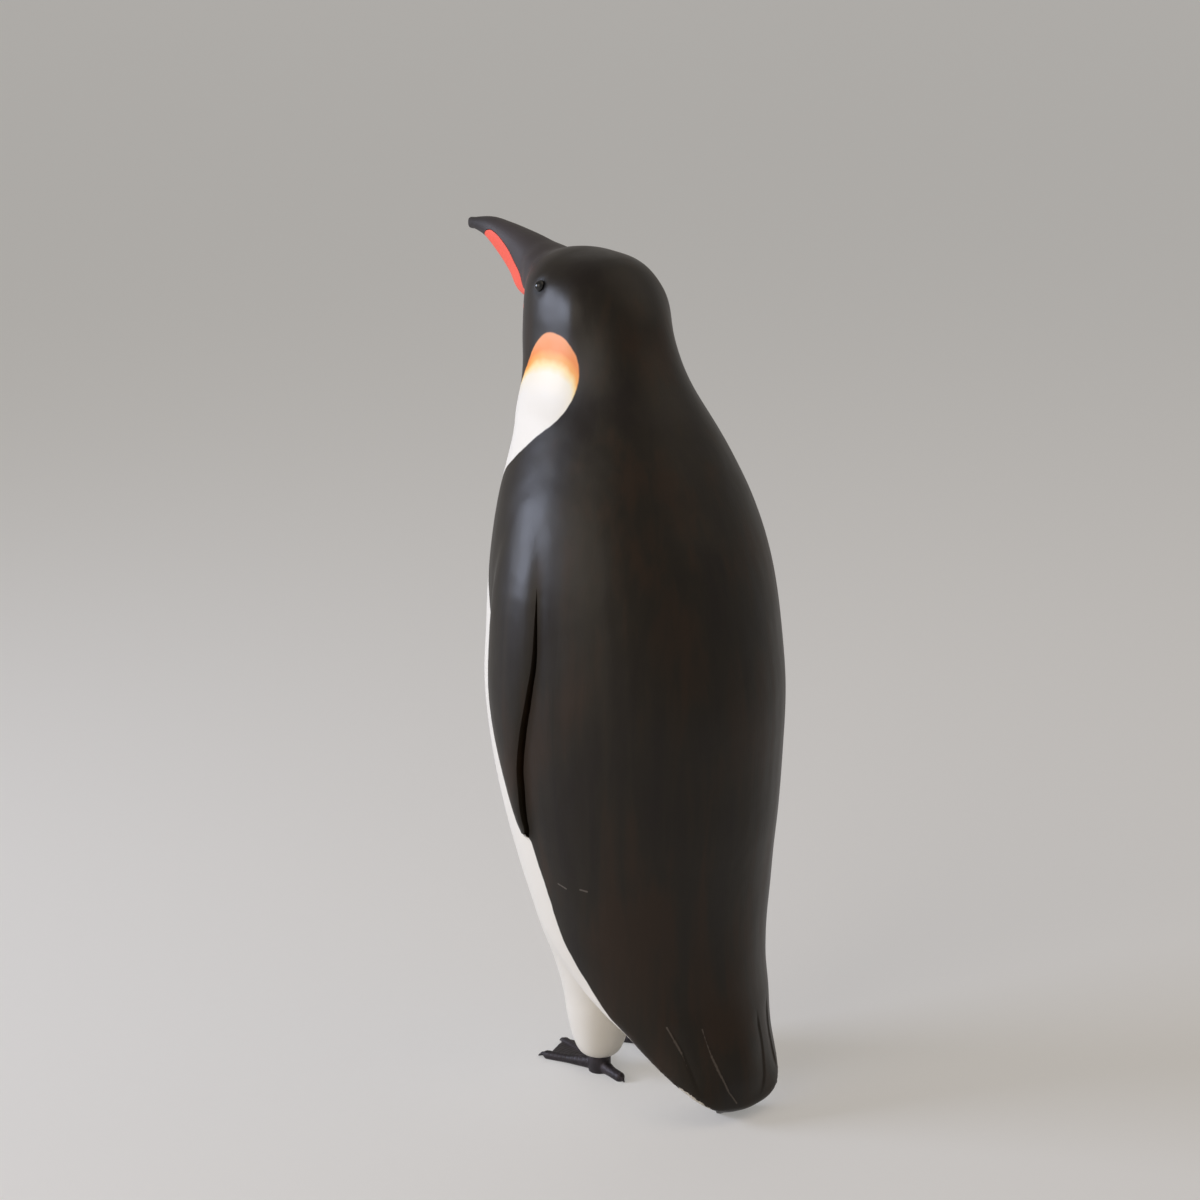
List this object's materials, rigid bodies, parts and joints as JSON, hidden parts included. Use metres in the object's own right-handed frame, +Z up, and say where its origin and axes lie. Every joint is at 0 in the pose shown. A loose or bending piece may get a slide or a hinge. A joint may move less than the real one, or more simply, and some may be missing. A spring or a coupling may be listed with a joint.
{
  "type": "penguin figurine",
  "caption": "Carved wooden penguin figurine, head raised, with painted black back, white front, orange ear patches, coral bill stripe and cast webbed feet.",
  "frame": {"origin": "middle of the bounding box, on the table that the feet and tail rest on", "axes": "+Z up, -Y the way the bird faces, +X the bird's left side"},
  "size_m": [0.1006, 0.148, 0.2735],
  "materials": {
    "feather_paint": "satin black, white and orange paint over carved wood",
    "bill_paint": "satin dark grey paint over carved wood",
    "coral_paint": "satin coral paint over carved wood",
    "eye_glass": "polished black glass",
    "foot_metal": "blackened casting, satin",
    "bare_wood": "plain turned dowel",
    "pin_steel": "plain drawn wire"
  },
  "bodies": {
    "root": {"body": "feather_paint", "head": "feather_paint", "left_flipper": "feather_paint", "right_flipper": "feather_paint", "upper_bill": "bill_paint", "lower_bill": "coral_paint", "left_eye": "eye_glass", "right_eye": "eye_glass", "left_foot": "foot_metal", "right_foot": "foot_metal", "neck_dowel": "bare_wood", "bill_dowel": "bare_wood", "left_flipper_dowels": "bare_wood", "right_flipper_dowels": "bare_wood", "left_leg_pin": "pin_steel", "right_leg_pin": "pin_steel"}
  },
  "joints": []
}
